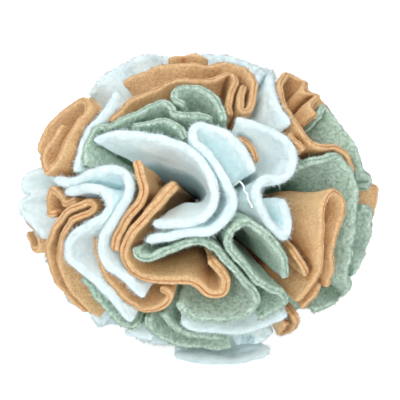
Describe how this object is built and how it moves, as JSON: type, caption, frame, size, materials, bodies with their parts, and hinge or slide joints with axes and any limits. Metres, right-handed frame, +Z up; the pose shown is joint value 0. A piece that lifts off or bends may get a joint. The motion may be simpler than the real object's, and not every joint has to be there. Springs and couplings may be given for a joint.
{
  "type": "dog snuffle ball",
  "caption": "Soft ball of ruffled fleece strips tied at the heart, with folds that hide treats for a dog to sniff out.",
  "frame": {"origin": "on the floor under the middle of the ball", "axes": "+Z up, the face with the cup and swirl of ice fleece looks along -Y and a little up, +X to its right"},
  "size_m": [0.1851, 0.1629, 0.1525],
  "materials": {
    "ice": "ice-blue polar fleece, soft matt nap",
    "tan": "warm tan polar fleece, pebbled matt nap, orange-brown middle at cut edges",
    "sage": "sage-green polar fleece, pebbled matt nap",
    "cord": "white twisted cord, matt"
  },
  "bodies": {
    "root": {"ice_cup": "ice", "ice_swirl": "ice", "tan_pair": "tan", "tan_tongue": "tan", "sage_wave": "sage", "sage_loop": "sage", "ice_bend": "ice", "ice_zigzag": "ice", "tan_left": "tan", "tan_curl": "tan", "ice_far_left": "ice", "tan_far_left": "tan", "tan_loop": "tan", "ice_sliver": "ice", "sage_top": "sage", "sage_lobe": "sage", "sage_tuck": "sage", "tan_shelf": "tan", "tan_top": "tan", "ice_top_left": "ice", "tan_top_back": "tan", "ice_top_back": "ice", "ice_peak": "ice", "ice_hook": "ice", "tan_chip": "tan", "tan_ridge": "tan", "tan_tab": "tan", "sage_shoulder": "sage", "sage_right": "sage", "tan_arch": "tan", "tan_flap": "tan", "sage_far_right": "sage", "tan_far_right": "tan", "tan_cove": "tan", "sage_low_left": "sage", "ice_low_left": "ice", "sage_hem_inner": "sage", "sage_hem": "sage", "ice_low": "ice", "tan_low_right": "tan", "ice_under": "ice", "tan_wedge": "tan", "back_sage_heart": "sage", "back_tan_1": "tan", "back_ice_1": "ice", "back_tan_2": "tan", "back_ice_2": "ice", "back_sage_1": "sage", "back_ice_3": "ice", "back_ice_5": "ice", "back_sage_2": "sage", "back_tan_3": "tan", "back_sage_3": "sage", "back_tan_4": "tan", "back_ice_4": "ice", "back_sage_4": "sage", "ice_foot": "ice", "tan_foot": "tan", "tie_knot": "cord", "tie_end": "cord"}
  },
  "joints": []
}
